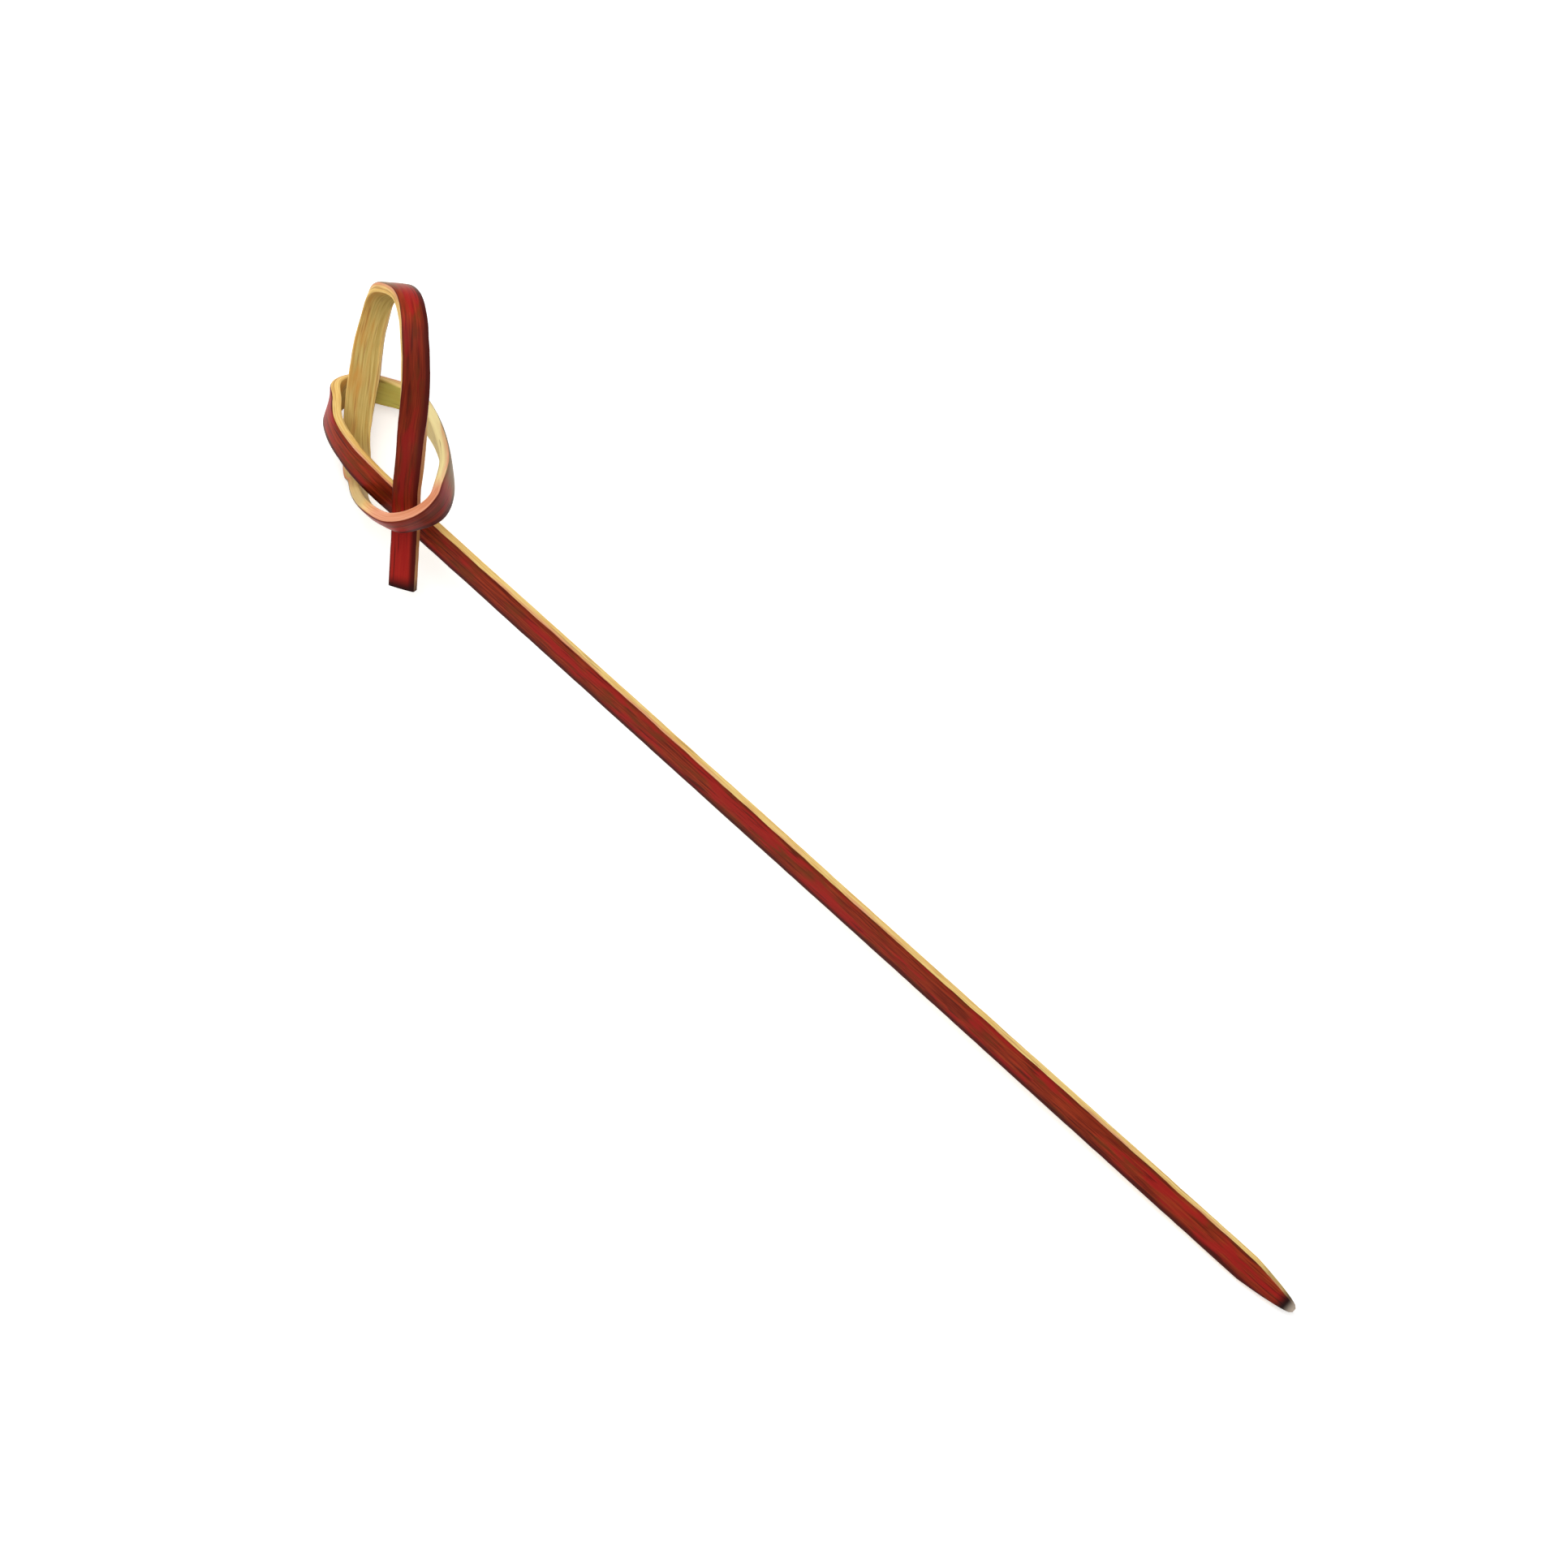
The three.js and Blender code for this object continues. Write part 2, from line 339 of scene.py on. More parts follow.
def select_edges(piece, wanted):
    """Selects the edges whose two ends pass the test, in edit mode."""
    bpy.ops.mesh.select_mode(type="EDGE")
    bpy.ops.mesh.select_all(action="DESELECT")
    bpy.ops.object.mode_set(mode="OBJECT")
    corners = piece.data.vertices
    for edge in piece.data.edges:
        edge.select = wanted(corners[edge.vertices[0]].co, corners[edge.vertices[1]].co)
    bpy.ops.object.mode_set(mode="EDIT")


def runs_along(a, b):
    return abs(a.x - b.x) > max(abs(a.y - b.y), abs(a.z - b.z))


def runs_across(a, b):
    return abs(a.y - b.y) > STRIP_WIDTH / 2


def strip_blank(name, start, end, low, high, rounded_z):
    """A straight length of strip along x, stepped finely, with its two long edges at rounded_z rounded."""
    deselect_all()
    bpy.ops.mesh.primitive_cube_add(size=1, location=((start + end) / 2, 0, (low + high) / 2),
                                    scale=(end - start, STRIP_WIDTH, high - low))
    piece = bpy.context.object
    piece.name = name
    piece.data.name = name
    bpy.ops.object.transform_apply(location=True, rotation=True, scale=True)
    bpy.ops.object.mode_set(mode="EDIT")
    select_edges(piece, lambda a, b: runs_along(a, b) and abs(a.z - rounded_z) < EDGE_ROUND / 2)
    bpy.ops.mesh.bevel(offset=EDGE_ROUND, segments=ROUND_SEGMENTS, profile=0.5, affect="EDGES")
    select_edges(piece, runs_across)
    bpy.ops.mesh.subdivide(number_cuts=FACE_CUTS)
    select_edges(piece, lambda a, b: abs(a.z - b.z) > (high - low) / 2)
    bpy.ops.mesh.subdivide(number_cuts=SIDE_CUTS)
    select_edges(piece, runs_along)
    bpy.ops.mesh.subdivide(number_cuts=min(MOST_CUTS, math.ceil((end - start) / STEP) - 1))
    bpy.ops.object.mode_set(mode="OBJECT")
    return piece


def depth_at(z, thickness):
    """A blank's height, fitted to the strip's local thickness with the seam between its layers kept."""
    blank_seam = STRIP_THICKNESS / 2 - SKIN_THICKNESS
    seam = thickness / 2 - min(SKIN_THICKNESS, thickness / 3)
    if z > blank_seam:
        return seam + (z - blank_seam) / SKIN_THICKNESS * (thickness / 2 - seam)
    in_core = (z + STRIP_THICKNESS / 2) / (blank_seam + STRIP_THICKNESS / 2)
    return -thickness / 2 + in_core * (seam + thickness / 2)


def dome(y, z):
    """How far the dyed face, which is the culm's round outside, falls away from its middle line."""
    in_skin = (z - STRIP_THICKNESS / 2 + SKIN_THICKNESS) / SKIN_THICKNESS
    return FACE_DOME * max(in_skin, 0) * (2 * y / STRIP_WIDTH) ** 2


def waver(distance, lane, size):
    """A slow unevenness along the strip, of its own in each lane."""
    slow = noise.noise(Vector((distance * SLOW_WAVER, lane * LANE_GAP, 0.5)))
    quick = noise.noise(Vector((distance * QUICK_WAVER, lane * LANE_GAP, 4.5)))
    return size * (slow + quick / 2)


def spread(distance):
    """How many times wider than usual the strip is at a distance from the tip."""
    grown = smooth_share(KNOT_START - distance, SHAFT_SPREAD_START, SHAFT_SPREAD_FULL)
    wider = 1 + SHAFT_SPREAD * grown * smooth_share(distance, 0, POINT_LENGTH)
    for stretch, share in SPREAD.items():
        start, end = SPANS[stretch]
        middle = (start + end) / 2
        wider += share * (1 - smooth_share(abs(distance - middle), 0, (end - start) / 2))
    return wider


def lay_on_route(piece):
    """Moves a blank's vertices onto the strip's route and keeps their place on the strip for the grain."""
    mesh = piece.data
    on_strip = mesh.attributes.new("place_on_strip", "FLOAT_VECTOR", "POINT")
    stations = {}
    for index, vertex in enumerate(mesh.vertices):
        distance, y, z = vertex.co
        key = round(distance, 4)
        if key not in stations:
            stations[key] = station_at(distance)
        at = stations[key]
        slim = at["width"] / STRIP_WIDTH
        lane = 1 if y > 0 else 2
        u = y * slim * spread(distance) * (1 - abs(waver(distance, lane, WIDTH_WAVER)))
        v = depth_at(z, at["thickness"]) * (1 - abs(waver(distance, 3, FACE_WAVER)))
        v = v - dome(y, z) * slim
        on_strip.data[index].vector = (distance, u / spread(distance), z)
        spot = at["position"] - at["side"] * u + at["out"] * v
        vertex.co = TURN @ spot * MM
    mesh.update()


def smooth_piece(piece):
    deselect_all()
    piece.select_set(True)
    bpy.context.view_layer.objects.active = piece
    bpy.ops.object.shade_smooth_by_angle(angle=SMOOTH_ANGLE)


# Shader helpers
def new_group(name, inputs, outputs):
    """An empty node group with the sockets named in inputs and outputs."""
    group = bpy.data.node_groups.new(name, "ShaderNodeTree")
    for socket, kind in inputs.items():
        group.interface.new_socket(socket, in_out="INPUT", socket_type=kind)
    for socket, kind in outputs.items():
        group.interface.new_socket(socket, in_out="OUTPUT", socket_type=kind)
    start = group.nodes.new("NodeGroupInput")
    end = group.nodes.new("NodeGroupOutput")
    return group, start, end


def stretched_noise(tree, vector, scale, stretch, detail, offset=0):
    """Noise drawn out along the strip: scale is across it and stretch how many times longer it runs."""
    sized = tree.nodes.new("ShaderNodeVectorMath")
    sized.operation = "MULTIPLY_ADD"
    sized.inputs[1].default_value = (scale / stretch, scale, scale)
    sized.inputs[2].default_value = (offset, offset, offset)
    tree.links.new(vector, sized.inputs[0])
    pattern = tree.nodes.new("ShaderNodeTexNoise")
    pattern.inputs["Scale"].default_value = 1
    pattern.inputs["Detail"].default_value = detail
    pattern.inputs["Roughness"].default_value = 0.6
    tree.links.new(sized.outputs[0], pattern.inputs["Vector"])
    return pattern.outputs["Fac"]


def mapped(tree, value, low, high, to_low=0, to_high=1):
    """A value spread smoothly from low..high to to_low..to_high."""
    node = tree.nodes.new("ShaderNodeMapRange")
    node.interpolation_type = "SMOOTHSTEP"
    node.inputs["From Min"].default_value = low
    node.inputs["From Max"].default_value = high
    node.inputs["To Min"].default_value = to_low
    node.inputs["To Max"].default_value = to_high
    tree.links.new(value, node.inputs["Value"])
    return node.outputs["Result"]


def calculated(tree, operation, a, b):
    """The result of a sum on two values or sockets."""
    node = tree.nodes.new("ShaderNodeMath")
    node.operation = operation
    for socket, value in zip(node.inputs, (a, b)):
        if isinstance(value, (int, float)):
            socket.default_value = value
        else:
            tree.links.new(value, socket)
    return node.outputs[0]


def scaled(tree, value, amount):
    """A value times an amount."""
    return calculated(tree, "MULTIPLY", value, amount)


def mixed(tree, factor, a, b):
    """A mix of two colours, either given or from sockets."""
    node = tree.nodes.new("ShaderNodeMix")
    node.data_type = "RGBA"
    tree.links.new(factor, node.inputs["Factor"])
    for name, value in (("A", a), ("B", b)):
        socket = next(s for s in node.inputs if s.name == name and s.type == "RGBA")
        if isinstance(value, tuple):
            socket.default_value = value
        else:
            tree.links.new(value, socket)
    return next(s for s in node.outputs if s.type == "RGBA")


def colour(red, green, blue):
    """A colour as it is read off a screen, for a shader socket."""
    def linear(level):
        share = level / 255
        return share / 12.92 if share <= 0.04045 else ((share + 0.055) / 1.055) ** 2.4
    return (linear(red), linear(green), linear(blue), 1)


# The strip's colours, as they are read off a screen
STRAW = (colour(176, 146, 76), colour(204, 178, 106))
WARM_STRAW = colour(194, 138, 64)
# Partly painted light: a greener tone, made lighter to lift the shade between the legs
GREEN_LIFTED_STRAW = colour(216, 212, 104)
EDGE = (colour(226, 178, 96), colour(248, 218, 140))
# Painted highlight on the bare bamboo
HIGHLIGHT_STRAW = colour(255, 240, 178)
# Painted shadow on the bare edge
SHADOW_STRAW = colour(196, 170, 118)
STAIN = (colour(206, 122, 88), colour(236, 162, 134))
# Painted shade on a cut edge turned from the light
SHADED_CUT_EDGE = colour(176, 112, 66)
BARE_BUNDLES = colour(150, 98, 52)
DYE = (colour(112, 30, 11), colour(166, 58, 28))
BROWN_DYE = colour(118, 52, 16)
CRIMSON_DYE = colour(172, 28, 28)
# Painted shade at the dyed face's edges
EDGE_SHADE_DYE = colour(66, 10, 4)
# Painted shade on the dye where the face turns from the light
SHADE_DYE = colour(76, 14, 5)
# Painted sheen: a grazing reflection, painted grey
SHEEN_GREY_DYE = colour(142, 132, 98)
DYED_BUNDLES = colour(56, 10, 3)
SOAKED_END = colour(34, 6, 4)
FRAYED_END = colour(206, 188, 170)

# The grain's patterns: how fine each is across the strip, how many times longer it runs along it, its detail
# and its offset
STRANDS_GRAIN = (7, 28, 3)
BUNDLES_GRAIN = (4.5, 16, 1, 11)
BLOTCHES_GRAIN = (0.9, 5, 2, 23)
RUN_GRAIN = (0.7, 6, 3, 41)
DEPTH_GRAIN = (2.5, 8, 2, 53)
BROWN_GRAIN = (1.1, 4, 2, 67)
BUNDLE_DEPTH = 0.35


def fibre_group():
    """Bamboo's long fibres: fine strands, dark bundles here and there, and slow blotches."""
    group, start, end = new_group("Bamboo fibres", {"Place": "NodeSocketVector"},
                                  {"Strands": "NodeSocketFloat", "Bundles": "NodeSocketFloat",
                                   "Blotches": "NodeSocketFloat", "Height": "NodeSocketFloat"})
    spot = start.outputs["Place"]
    strands = stretched_noise(group, spot, *STRANDS_GRAIN)
    bundles = mapped(group, stretched_noise(group, spot, *BUNDLES_GRAIN), 0.6, 0.72)
    blotches = stretched_noise(group, spot, *BLOTCHES_GRAIN)
    height = calculated(group, "SUBTRACT", strands, scaled(group, bundles, BUNDLE_DEPTH))
    group.links.new(strands, end.inputs["Strands"])
    group.links.new(bundles, end.inputs["Bundles"])
    group.links.new(blotches, end.inputs["Blotches"])
    group.links.new(height, end.inputs["Height"])
    return group


FIBRES = fibre_group()

# How deep the dye lies, and where painted shade darkens the dyed face towards its edges, more on one side
# than the other, as if its rounded face turned from the light
DYE_DEPTH = 0.12
DYE_UNEVEN = 0.03
EDGE_SHADE_LEAN = 0.2
EDGE_SHADE_FROM = 0.7
EDGE_SHADE_TO = 1.2

# Where a cut edge begins and is whole, across the strip from its middle line
CUT_EDGE = (1.02, 1.2)
DYED_EDGE = (1.0, 1.15)

# Where the dye has stained the edge of the wrap's front most
STAIN_START = SPANS["wrap_front"][0] - 4
STAIN_END = SPANS["wrap_front"][1] - 2.5
STAIN_FADE = 3

# The dye has run over one cut edge as far as half way down the front leg; below that the edge is painted a
# darker brown as painted shade, where it turns from the light
EDGE_DYE_END = (SPANS["front_leg"][0] + SPANS["front_leg"][1]) / 2 + 2
EDGE_DYE_FADE = 3
CUT_EDGE_SHADE_FADE = 2

# Past both of the strip's ends, for a mask that doesn't fade there
BEFORE_TIP = -3
PAST_TAIL = STRIP_LENGTH + 2

# Painted sheen: where the dyed face is painted grey, from and to, as a grazing reflection of the white
# surroundings on the turns and the crown
SHEEN_STRETCHES = (
    (SPANS["right_turn"][0] - 2, SPANS["right_turn"][1] - 1),
    (SPANS["wrap_front"][1] - 3.5, SPANS["lower_turn"][1] + 1),
    (SPANS["crown"][0] - 1, SPANS["crown"][1] - 2),
)
SHEEN_FADE = 4
# Painted shadow: where the bare edge is painted grey-green, as the rising strand's shadow on the lower turn
STRAND_SHADOW_START = STAIN_END - 2
STRAND_SHADOW_END = SPANS["lower_turn"][1]
STRAND_SHADOW_FADE = 2.5

# Painted shade: the dye is painted darkest down the front leg and below the right turn, where the face turns
# from the light, and where strands press into a shaded crevice
SHADED_STRETCHES = (
    (SPANS["front_leg"][0], SPANS["tail"][0]),
    (SPANS["right_turn"][1] - 3, SPANS["wrap_front"][0] + 4),
    (SPANS["rising_strand"][0] + 1, SPANS["rising_strand"][0] + 7),
)
SHADE_FADE = 2

# Where the inner face is painted greener and lighter: a greener tone of its own, and painted light that lifts
# the shade between the legs
LIFTED_GREEN_START = SPANS["wrap_back"][0]
LIFTED_GREEN_END = SPANS["right_turn"][0] + 2
LIFTED_GREEN_FADE = 2

# Painted highlight: where the bare bamboo is painted palest, as if brightly lit: on the wrap's turn at the
# right
HIGHLIGHT_START = SPANS["right_turn"][0] - 1
HIGHLIGHT_END = SPANS["right_turn"][1]
HIGHLIGHT_FADE = 2

# The tail's dye is the reddest
CRIMSON_TAIL_START = STRIP_LENGTH - 7
CRIMSON_FADE = 2

# The dye soaks up the cut ends, so they are the darkest, but the very tip has frayed pale
TIP_SOAK = 2.2
TIP_FRAY = 1
TAIL_SOAK = 1.4


def bamboo_material(name):
    """An empty bamboo material: its tree, its shader, its fibres and its place on the strip."""
    material = bpy.data.materials.new(name)
    material.use_nodes = True
    tree = material.node_tree
    shader = tree.nodes["Principled BSDF"]
    spot = tree.nodes.new("ShaderNodeAttribute")
    spot.attribute_name = "place_on_strip"
    fibres = tree.nodes.new("ShaderNodeGroup")
    fibres.node_tree = FIBRES
    tree.links.new(spot.outputs["Vector"], fibres.inputs["Place"])
    return material, tree, shader, fibres, spot.outputs["Vector"]


def bump(tree, shader, height, strength, depth):
    node = tree.nodes.new("ShaderNodeBump")
    node.inputs["Strength"].default_value = strength
    node.inputs["Distance"].default_value = depth * MM
    tree.links.new(height, node.inputs["Height"])
    tree.links.new(node.outputs["Normal"], shader.inputs["Normal"])


def with_ends(tree, spot, body, amount):
    """A colour with the strip's two cut ends soaked in dye, and the very tip frayed."""
    distance = separate(tree, spot)["X"]
    tip = mapped(tree, distance, TIP_SOAK, TIP_FRAY)
    tail = mapped(tree, distance, STRIP_LENGTH - TAIL_SOAK, STRIP_LENGTH)
    soaked = scaled(tree, calculated(tree, "MAXIMUM", tip, tail), amount)
    frayed = mapped(tree, distance, TIP_FRAY, 0)
    return mixed(tree, frayed, mixed(tree, soaked, body, SOAKED_END), FRAYED_END)


def stretch_mask(tree, spot, start, end, fade):
    """One between two distances along the strip, fading to nothing at both."""
    distance = separate(tree, spot)["X"]
    begins = mapped(tree, distance, start, start + fade)
    ends = mapped(tree, distance, end, end - fade)
    return calculated(tree, "MULTIPLY", begins, ends)


def stretches_mask(tree, spot, stretches, fade):
    """One on each of the stretches, given by where they start and end."""
    whole = None
    for start, end in stretches:
        one = stretch_mask(tree, spot, start, end, fade)
        whole = one if whole is None else calculated(tree, "MAXIMUM", whole, one)
    return whole


def separate(tree, vector):
    node = tree.nodes.new("ShaderNodeSeparateXYZ")
    tree.links.new(vector, node.inputs[0])
    return node.outputs


def bare_straw(tree, fibres, spot):
    """Bare bamboo before the dye: a straw inner face, painted greener and lighter between the legs, a painted
    highlight on the right turn, paler cut edges, and a painted shadow below the rising strand.
    """
    strands = mapped(tree, fibres.outputs["Strands"], 0.3, 0.7)
    straw = mixed(tree, strands, *STRAW)
    warmed = mixed(tree, mapped(tree, fibres.outputs["Blotches"], 0.45, 0.75), straw, WARM_STRAW)
    # Painted light and a greener tone between the legs
    painted_lift_and_green = scaled(tree, stretch_mask(tree, spot, LIFTED_GREEN_START, LIFTED_GREEN_END, LIFTED_GREEN_FADE), 0.7)
    lifted_and_greened = mixed(tree, painted_lift_and_green, warmed, GREEN_LIFTED_STRAW)
    edge = mixed(tree, strands, *EDGE)
    across = calculated(tree, "ABSOLUTE", separate(tree, spot)["Y"], 0)
    plain = mixed(tree, mapped(tree, across, *CUT_EDGE), lifted_and_greened, edge)
    # Painted highlight on the right turn
    painted_highlight = scaled(tree, stretch_mask(tree, spot, HIGHLIGHT_START, HIGHLIGHT_END, HIGHLIGHT_FADE), 0.85)
    body = mixed(tree, painted_highlight, plain, HIGHLIGHT_STRAW)
    dashed = mixed(tree, scaled(tree, fibres.outputs["Bundles"], 0.5), body, BARE_BUNDLES)
    # Painted shadow of the rising strand
    painted_shadow = scaled(tree, stretch_mask(tree, spot, STRAND_SHADOW_START, STRAND_SHADOW_END, STRAND_SHADOW_FADE), 0.75)
    return mixed(tree, painted_shadow, dashed, SHADOW_STRAW)


def bare_colour(tree, fibres, spot):
    """Bare bamboo's colour, with the dye that has run over it, most of all next to the dyed layer, and
    painted shade on one cut edge below the dyed part.
    """
    near_dye = mapped(tree, separate(tree, spot)["Z"], -0.2, 0.4)
    run = mapped(tree, stretched_noise(tree, spot, *RUN_GRAIN), 0.42, 0.62)
    on_front = stretch_mask(tree, spot, STAIN_START, STAIN_END, STAIN_FADE)
    amount = calculated(tree, "MAXIMUM", calculated(tree, "MULTIPLY", near_dye, run), on_front)
    stain = mixed(tree, mapped(tree, fibres.outputs["Strands"], 0.3, 0.7), *STAIN)
    stained = mixed(tree, scaled(tree, amount, 0.9), bare_straw(tree, fibres, spot), stain)
    # Painted shade on the cut edge below the dyed part
    on_edge = mapped(tree, separate(tree, spot)["Y"], *DYED_EDGE)
    below = stretch_mask(tree, spot, EDGE_DYE_END - CUT_EDGE_SHADE_FADE, PAST_TAIL, CUT_EDGE_SHADE_FADE)
    painted_cut_edge_shade = scaled(tree, calculated(tree, "MULTIPLY", on_edge, below), 0.85)
    return with_ends(tree, spot, mixed(tree, painted_cut_edge_shade, stained, SHADED_CUT_EDGE), 0.85)


def dye_colour(tree, fibres, spot):
    """The dye's colour: streaked and blotched, with painted shade towards the face's edges and on stretches
    turned from the light, and a painted grey sheen in places.
    """
    streaked = mixed(tree, mapped(tree, fibres.outputs["Strands"], 0.32, 0.68), *DYE)
    thin = mapped(tree, stretched_noise(tree, spot, *BROWN_GRAIN), 0.5, 0.64, 0, 0.75)
    browned = mixed(tree, thin, streaked, BROWN_DYE)
    blotched = mapped(tree, fibres.outputs["Blotches"], 0.5, 0.64)
    on_tail = stretch_mask(tree, spot, CRIMSON_TAIL_START, PAST_TAIL, CRIMSON_FADE)
    reddest = calculated(tree, "MAXIMUM", blotched, on_tail)
    crimson = mixed(tree, scaled(tree, reddest, 0.75), browned, CRIMSON_DYE)
    dashed = mixed(tree, scaled(tree, fibres.outputs["Bundles"], 0.6), crimson, DYED_BUNDLES)
    # Painted shade towards the face's edges
    leaning = calculated(tree, "ADD", separate(tree, spot)["Y"], EDGE_SHADE_LEAN)
    from_middle = calculated(tree, "ABSOLUTE", leaning, 0)
    painted_edge_shade = scaled(tree, mapped(tree, from_middle, EDGE_SHADE_FROM, EDGE_SHADE_TO), 0.92)
    edge_shaded_dye = mixed(tree, painted_edge_shade, dashed, EDGE_SHADE_DYE)
    # Painted shade on stretches turned from the light
    painted_shade = scaled(tree, stretches_mask(tree, spot, SHADED_STRETCHES, SHADE_FADE), 0.5)
    shade_darkened = mixed(tree, painted_shade, edge_shaded_dye, SHADE_DYE)
    # Painted sheen where the face catches a grazing reflection
    painted_sheen = calculated(tree, "MULTIPLY", stretches_mask(tree, spot, SHEEN_STRETCHES, SHEEN_FADE),
                      mapped(tree, fibres.outputs["Strands"], 0.2, 0.7, 0.55, 0.95))
    return with_ends(tree, spot, mixed(tree, painted_sheen, shade_darkened, SHEEN_GREY_DYE), 1)


def dye_mask(tree, spot):
    """One as deep as the dye lies, which is unevenly, and down the edge that it has run over."""
    waved = stretched_noise(tree, spot, *DEPTH_GRAIN)
    uneven = mapped(tree, waved, 0.3, 0.7, -DYE_UNEVEN, DYE_UNEVEN)
    on_edge = mapped(tree, separate(tree, spot)["Y"], *DYED_EDGE)
    above = stretch_mask(tree, spot, BEFORE_TIP, EDGE_DYE_END, EDGE_DYE_FADE)
    over_edge = scaled(tree, calculated(tree, "MULTIPLY", on_edge, above), SKIN_THICKNESS)
    depth = calculated(tree, "ADD", separate(tree, spot)["Z"], calculated(tree, "ADD", uneven, over_edge))
    dye_floor = STRIP_THICKNESS / 2 - DYE_DEPTH
    return mapped(tree, depth, dye_floor - DYE_UNEVEN, dye_floor + DYE_UNEVEN)


def natural_bamboo():
    """The core: bare bamboo, matt and fibrous."""
    material, tree, shader, fibres, spot = bamboo_material("Natural bamboo")
    tree.links.new(bare_colour(tree, fibres, spot), shader.inputs["Base Color"])
    shader.inputs["Roughness"].default_value = 0.6
    shader.inputs["Specular IOR Level"].default_value = 0.12
    bump(tree, shader, fibres.outputs["Height"], 0.5, 0.05)
    return material


def dyed_bamboo():
    """The skin: dyed dark red on its face, and bare again below the dye."""
    material, tree, shader, fibres, spot = bamboo_material("Dyed bamboo")
    bare = bare_colour(tree, fibres, spot)
    coloured = mixed(tree, dye_mask(tree, spot), bare, dye_colour(tree, fibres, spot))
    tree.links.new(coloured, shader.inputs["Base Color"])
    shader.inputs["Roughness"].default_value = 0.42
    shader.inputs["Specular IOR Level"].default_value = 0.1
    bump(tree, shader, fibres.outputs["Height"], 0.45, 0.04)
    return material


NATURAL = natural_bamboo()
DYED = dyed_bamboo()


# The pieces
def make_layer(stretch, layer):
    """One stretch of one layer, laid on the route, standing for its node of the model."""
    start, end = SPANS[stretch]
    inner = -STRIP_THICKNESS / 2
    outer = STRIP_THICKNESS / 2
    seam = outer - SKIN_THICKNESS
    name = f"{stretch}_{layer}_bamboo"
    if layer == "core":
        piece = strip_blank(name, start, end, inner, seam, inner)
    else:
        piece = strip_blank(name, start, end, seam, outer, outer)
    lay_on_route(piece)
    smooth_piece(piece)
    piece.data.materials.append(NATURAL if layer == "core" else DYED)
    return piece


def set_on_floor(pieces):
    """Moves the laid strip so that its box stands where the model's does."""
    corners = [vertex.co for piece in pieces for vertex in piece.data.vertices]
    low = Vector([min(corner[axis] for corner in corners) for axis in range(3)])
    high = Vector([max(corner[axis] for corner in corners) for axis in range(3)])
    model_low = Vector(cad_box[0])
    model_high = Vector(cad_box[1])
    shift = (model_low + model_high - low - high) / 2
    shift.z = model_low.z - low.z
    for piece in pieces:
        piece.data.transform(Matrix.Translation(shift))
    return shift


def make_strip():
    pieces = {}
    for stretch in SPANS:
        for layer in ("core", "skin"):
            pieces[f"{stretch}_{layer}"] = make_layer(stretch, layer)
    shift = set_on_floor(pieces.values())
    for node, piece in pieces.items():
        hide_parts(node)
        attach(piece, "root")
    return shift


SHIFT = make_strip()

# The photograph's view: straight at the knot's front, with the frame's middle part way down the shaft
PICTURE_MIDDLE = Vector((33.8, -24.6, 0))
PICTURE_WIDTH = 138
CAMERA_DISTANCE = 4000
SENSOR_WIDTH = 36

# The light comes from the picture's top, over the viewer's shoulder
LIGHT_FROM = Vector((-0.3, 0.55, 0.78)).normalized()
FILL_FROM = Vector((0.6, 0.3, 0.7)).normalized()
LIGHT_DISTANCE = 700
LAMP_SIZE = 0.8
KEY_POWER = 4.1
FILL_POWER = 1.1
WORLD_LIGHT = 0.3

# The floor looks this much paler to the camera than the lamps make it, so that the shadow stays faint
FLOOR_SIZE = 6000
FLOOR_GLOW = 0.45


def to_floor_frame(knot_point):
    """A point seen from the knot's front, in metres in the model's frame."""
    return TURN @ knot_point * MM + SHIFT


def facing_matrix(position, towards, up):
    """A camera's or lamp's place, looking towards a direction."""
    back = -towards.normalized()
    right = up.cross(back).normalized()
    rows = Matrix((right, back.cross(right), back)).transposed()
    return Matrix.Translation(position) @ rows.to_4x4()


def make_camera():
    data = bpy.data.cameras.new("Camera")
    data.sensor_width = SENSOR_WIDTH
    data.lens = SENSOR_WIDTH * CAMERA_DISTANCE / PICTURE_WIDTH
    camera = bpy.data.objects.new("Camera", data)
    bpy.context.scene.collection.objects.link(camera)
    away = Vector((0, 0, CAMERA_DISTANCE))
    position = to_floor_frame(PICTURE_MIDDLE + away)
    camera.matrix_world = facing_matrix(position, TURN @ -away, TURN @ Vector((0, 1, 0)))
    bpy.context.scene.camera = camera


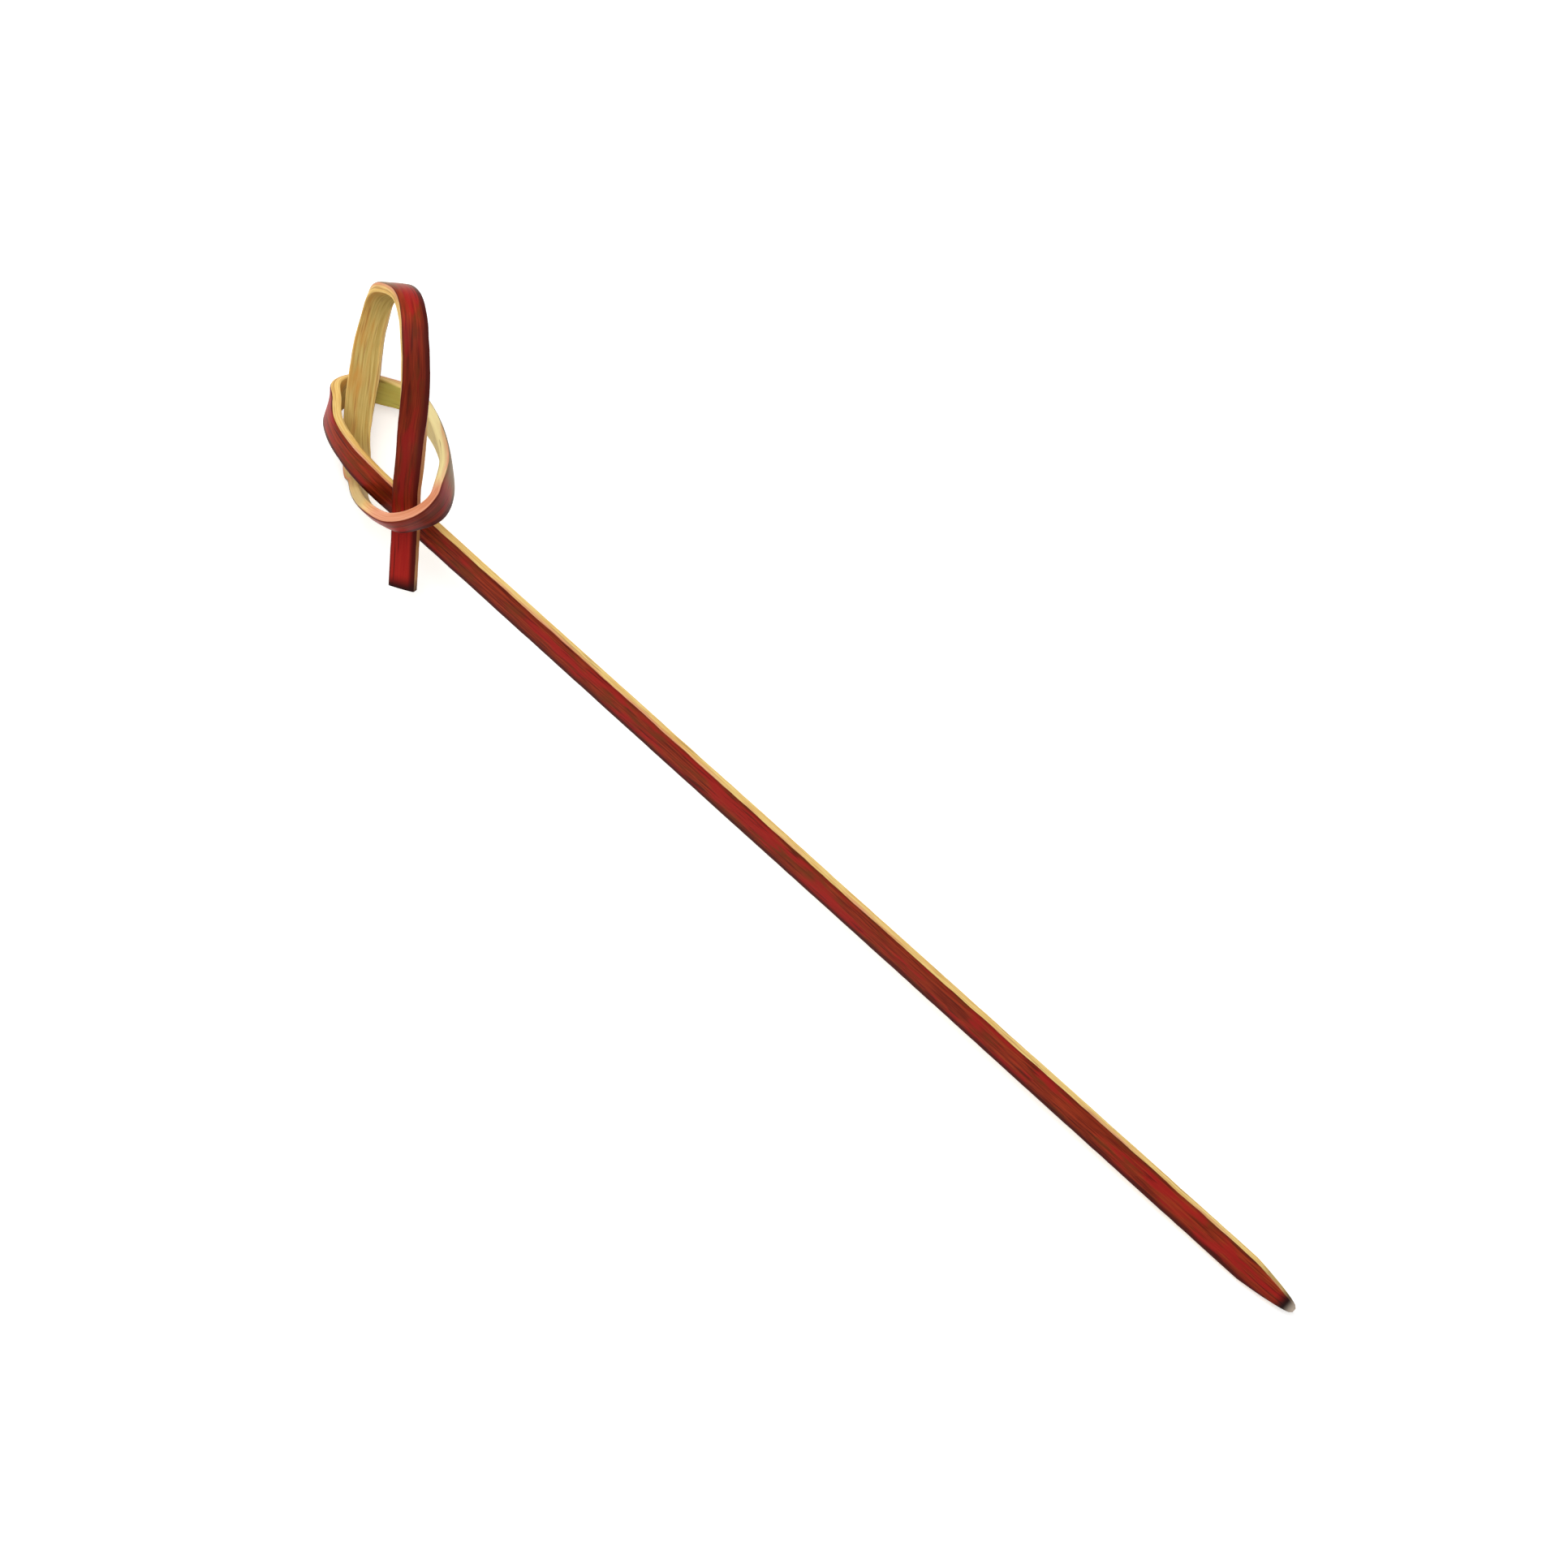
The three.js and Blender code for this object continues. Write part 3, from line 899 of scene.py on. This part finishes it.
def make_lamp(name, direction, power):
    data = bpy.data.lights.new(name, "AREA")
    data.shape = "DISK"
    data.size = LAMP_SIZE
    data.energy = power
    lamp = bpy.data.objects.new(name, data)
    bpy.context.scene.collection.objects.link(lamp)
    position = to_floor_frame(PICTURE_MIDDLE + direction * LIGHT_DISTANCE)
    lamp.matrix_world = facing_matrix(position, TURN @ -direction, Vector((0.1, 1, 0.2)))


def seen_rays(tree):
    """One for the camera and for what it sees mirrored or through something, and none for light."""
    rays = tree.nodes.new("ShaderNodeLightPath")
    mirrored = calculated(tree, "MAXIMUM", rays.outputs["Is Glossy Ray"], rays.outputs["Is Transmission Ray"])
    return calculated(tree, "MAXIMUM", rays.outputs["Is Camera Ray"], mirrored)


def make_world():
    """Soft grey light from all round, seen as white by the camera."""
    world = bpy.data.worlds.new("Studio")
    bpy.context.scene.world = world
    world.use_nodes = True
    tree = world.node_tree
    shade = tree.nodes["Background"]
    shade.inputs["Color"].default_value = (1, 1, 1, 1)
    tree.links.new(calculated(tree, "MAXIMUM", seen_rays(tree), WORLD_LIGHT), shade.inputs["Strength"])


def make_floor():
    """A pale matt floor, which keeps the skewer's shadow."""
    deselect_all()
    bpy.ops.mesh.primitive_plane_add(size=FLOOR_SIZE * MM, location=(0, 0, cad_box[0][2]))
    floor = bpy.context.object
    floor.name = "floor"
    material = bpy.data.materials.new("Pale floor")
    material.use_nodes = True
    shader = material.node_tree.nodes["Principled BSDF"]
    shader.inputs["Base Color"].default_value = colour(253, 253, 252)
    shader.inputs["Roughness"].default_value = 0.9
    shader.inputs["Specular IOR Level"].default_value = 0.1
    shader.inputs["Emission Color"].default_value = (1, 1, 1, 1)
    tree = material.node_tree
    tree.links.new(scaled(tree, seen_rays(tree), FLOOR_GLOW), shader.inputs["Emission Strength"])
    floor.data.materials.append(material)


make_camera()
make_lamp("key", LIGHT_FROM, KEY_POWER)
make_lamp("fill", FILL_FROM, FILL_POWER)
make_world()
make_floor()

bpy.context.scene.view_settings.view_transform = "Standard"
